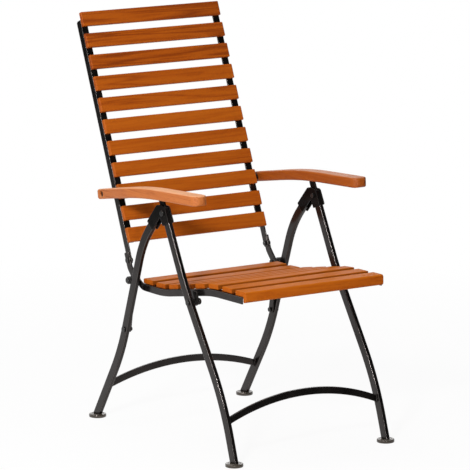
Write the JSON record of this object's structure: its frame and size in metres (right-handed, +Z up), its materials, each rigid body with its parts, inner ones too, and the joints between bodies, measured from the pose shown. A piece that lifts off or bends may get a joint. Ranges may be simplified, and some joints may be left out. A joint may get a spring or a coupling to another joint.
{
  "type": "folding armchair",
  "caption": "High-back folding garden armchair: wooden slats on a curved black steel frame, with a reclining back and armrests that lift.",
  "frame": {"origin": "on the floor, under the middle of the chair's box", "axes": "+Z up, the sitter faces -Y, +X is the sitter's left"},
  "size_m": [0.554, 0.8222, 1.1011],
  "materials": {
    "frame_black": "black powder coat, semi-gloss",
    "slat_wood": "oiled hardwood, satin",
    "arm_wood": "oiled hardwood, satin",
    "foot_glide": "brown-grey moulded plastic",
    "bolt_black": "blackened steel",
    "knob_plastic": "black moulded plastic",
    "bush_plastic": "dark nylon",
    "screw_steel": "zinc plated"
  },
  "bodies": {
    "rear_frame": {"rear_leg_right": "frame_black", "rear_leg_left": "frame_black", "rear_stretcher": "frame_black", "rear_foot_right": "foot_glide", "rear_foot_left": "foot_glide", "hub_bracket_right": "frame_black", "hub_bracket_left": "frame_black", "hub_bolts": "bolt_black", "link_bolts": "bolt_black"},
    "front_frame": {"front_leg_right": "frame_black", "front_leg_left": "frame_black", "front_stretcher": "frame_black", "front_foot_right": "foot_glide", "front_foot_left": "foot_glide", "arm_lug_right": "frame_black", "arm_lug_left": "frame_black", "seat_pivot_bolts": "bolt_black"},
    "links": {"link_right": "frame_black", "link_left": "frame_black", "axle_bolts": "bolt_black", "axle_knobs": "knob_plastic"},
    "seat": {"seat_rail_right": "frame_black", "seat_rail_left": "frame_black", "seat_lug_right": "frame_black", "seat_lug_left": "frame_black", "seat_slat_1": "slat_wood", "seat_slat_2": "slat_wood", "seat_slat_3": "slat_wood", "seat_slat_4": "slat_wood", "seat_slat_5": "slat_wood", "seat_slat_6": "slat_wood", "seat_slat_7": "slat_wood", "seat_slat_8": "slat_wood", "seat_screws": "screw_steel"},
    "back_axle": {"axle_bushes": "bush_plastic"},
    "back": {"back_rail_right": "frame_black", "back_rail_left": "frame_black", "back_strap_right": "frame_black", "back_strap_left": "frame_black", "back_slat_1": "slat_wood", "back_slat_2": "slat_wood", "back_slat_3": "slat_wood", "back_slat_4": "slat_wood", "back_slat_5": "slat_wood", "back_slat_6": "slat_wood", "back_slat_7": "slat_wood", "back_slat_8": "slat_wood", "back_slat_9": "slat_wood", "back_slat_10": "slat_wood", "back_slat_11": "slat_wood", "back_screws": "screw_steel", "strap_bolts": "bolt_black"},
    "right_arm_pin": {"arm_bolt_right": "bolt_black"},
    "right_arm_sleeve": {"arm_bush_right": "bush_plastic"},
    "right_arm": {"armrest_right": "arm_wood", "rack_right": "frame_black"},
    "left_arm_pin": {"arm_bolt_left": "bolt_black"},
    "left_arm_sleeve": {"arm_bush_left": "bush_plastic"},
    "left_arm": {"armrest_left": "arm_wood", "rack_left": "frame_black"}
  },
  "joints": [
    {"name": "leg_fold", "type": "hinge", "parent": "rear_frame", "child": "front_frame", "pos_m": [0, -0.059, 0.618], "axis": [1, 0, 0], "range_deg": [0, 52]},
    {"name": "link_swing", "type": "hinge", "parent": "rear_frame", "child": "links", "pos_m": [0, 0.14011, 0.27], "axis": [1, 0, 0], "range_deg": [-134.34, 0]},
    {"name": "seat_swing", "type": "hinge", "parent": "links", "child": "seat", "pos_m": [0, 0.11605, 0.409], "axis": [1, 0, 0], "range_deg": [0, 89.24]},
    {"name": "back_swing", "type": "hinge", "parent": "links", "child": "back_axle", "pos_m": [0, 0.11605, 0.409], "axis": [1, 0, 0], "range_deg": [0, 181.64]},
    {"name": "back_recline", "type": "hinge", "parent": "back_axle", "child": "back", "pos_m": [0, 0.11605, 0.409], "axis": [-1, 0, 0], "range_deg": [0, 24]},
    {"name": "right_arm_slide", "type": "hinge", "parent": "back", "child": "right_arm_pin", "pos_m": [0, 0.22196, 0.6298], "axis": [1, 0, 0], "range_deg": [0, 15.15]},
    {"name": "right_arm_fold", "type": "hinge", "parent": "right_arm_pin", "child": "right_arm_sleeve", "pos_m": [0, 0.22196, 0.6298], "axis": [1, 0, 0], "range_deg": [-105.32, 0]},
    {"name": "right_arm_lift", "type": "hinge", "parent": "right_arm_sleeve", "child": "right_arm", "pos_m": [0, 0.22196, 0.6298], "axis": [-1, 0, 0], "range_deg": [0, 60]},
    {"name": "left_arm_slide", "type": "hinge", "parent": "back", "child": "left_arm_pin", "pos_m": [0, 0.22196, 0.6298], "axis": [1, 0, 0], "range_deg": [0, 15.15]},
    {"name": "left_arm_fold", "type": "hinge", "parent": "left_arm_pin", "child": "left_arm_sleeve", "pos_m": [0, 0.22196, 0.6298], "axis": [1, 0, 0], "range_deg": [-105.32, 0]},
    {"name": "left_arm_lift", "type": "hinge", "parent": "left_arm_sleeve", "child": "left_arm", "pos_m": [0, 0.22196, 0.6298], "axis": [-1, 0, 0], "range_deg": [0, 60]}
  ],
  "couplings": [
    {"joint": "link_swing", "follows": "leg_fold", "ratio": -2.5831},
    {"joint": "seat_swing", "follows": "leg_fold", "ratio": 1.7157},
    {"joint": "back_swing", "follows": "leg_fold", "ratio": 3.4927},
    {"joint": "right_arm_slide", "follows": "back_recline", "ratio": 0.63042},
    {"joint": "right_arm_fold", "follows": "leg_fold", "ratio": -2.025},
    {"joint": "left_arm_slide", "follows": "back_recline", "ratio": 0.63042},
    {"joint": "left_arm_fold", "follows": "leg_fold", "ratio": -2.025}
  ]
}
